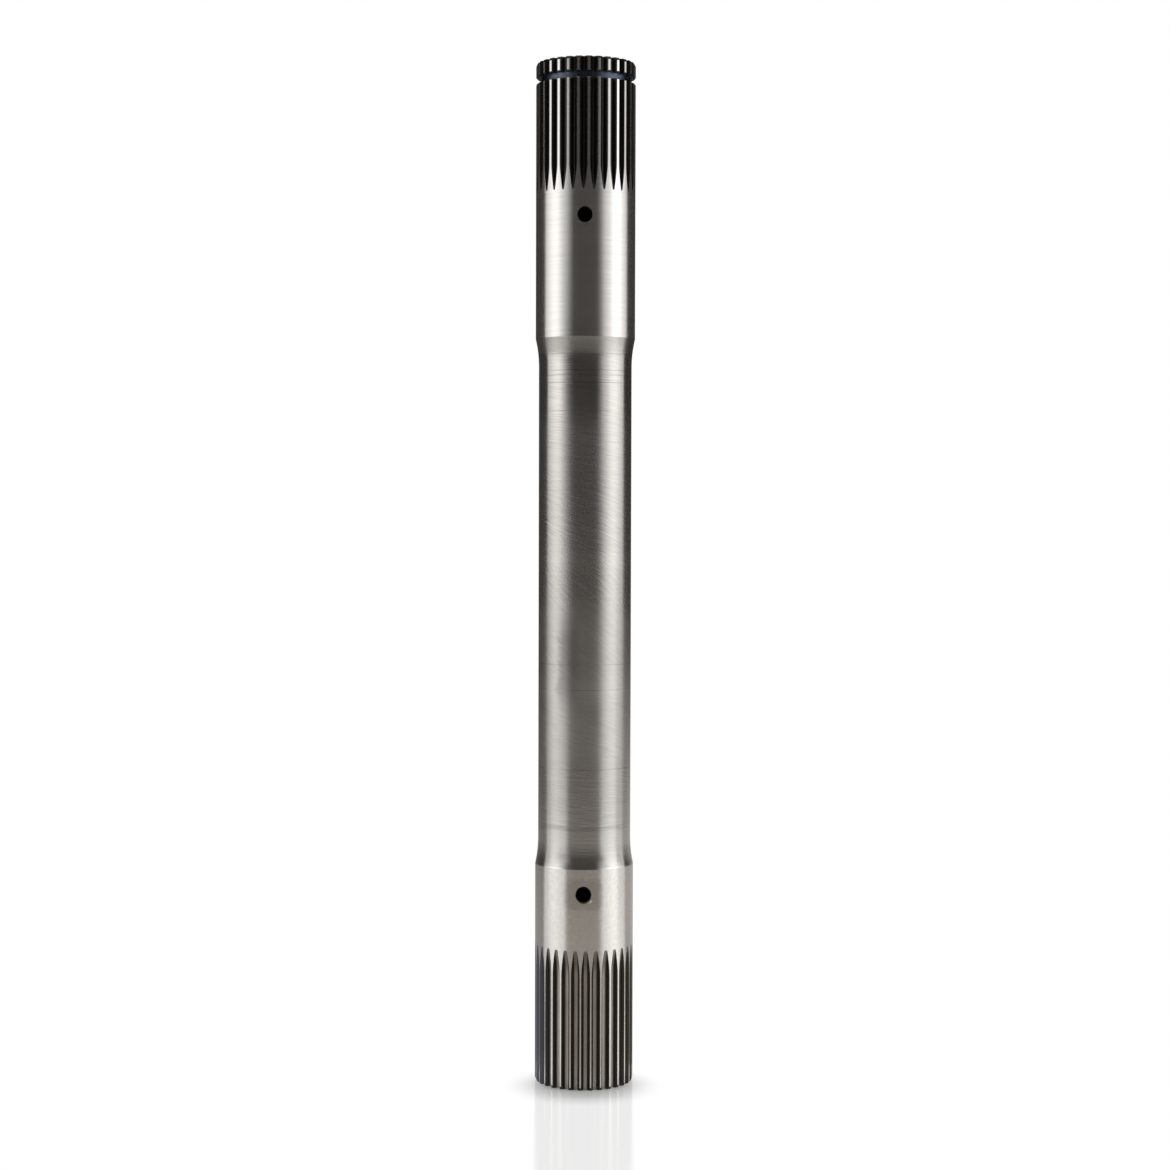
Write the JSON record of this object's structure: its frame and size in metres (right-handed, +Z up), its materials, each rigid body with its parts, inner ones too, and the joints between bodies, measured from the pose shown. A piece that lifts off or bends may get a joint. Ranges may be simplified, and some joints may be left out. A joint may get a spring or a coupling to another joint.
{
  "type": "transmission main shaft",
  "caption": "Slim steel transmission main shaft with splined ends, ground lands, a thinner neck, a snap-ring groove near one end, oil holes and an oil bore through its length.",
  "frame": {"origin": "centre of the lower end face, on the shaft's axis, where it stands", "axes": "+Z up along the shaft's axis, towards the end with the snap-ring groove; both oil holes face -Y"},
  "size_m": [0.0326, 0.0326, 0.3356],
  "materials": {
    "steel": "ground and belt-polished alloy steel, near mirror on the lands and dark in the tooth spaces"
  },
  "bodies": {
    "root": {"main_shaft": "steel"}
  },
  "joints": []
}
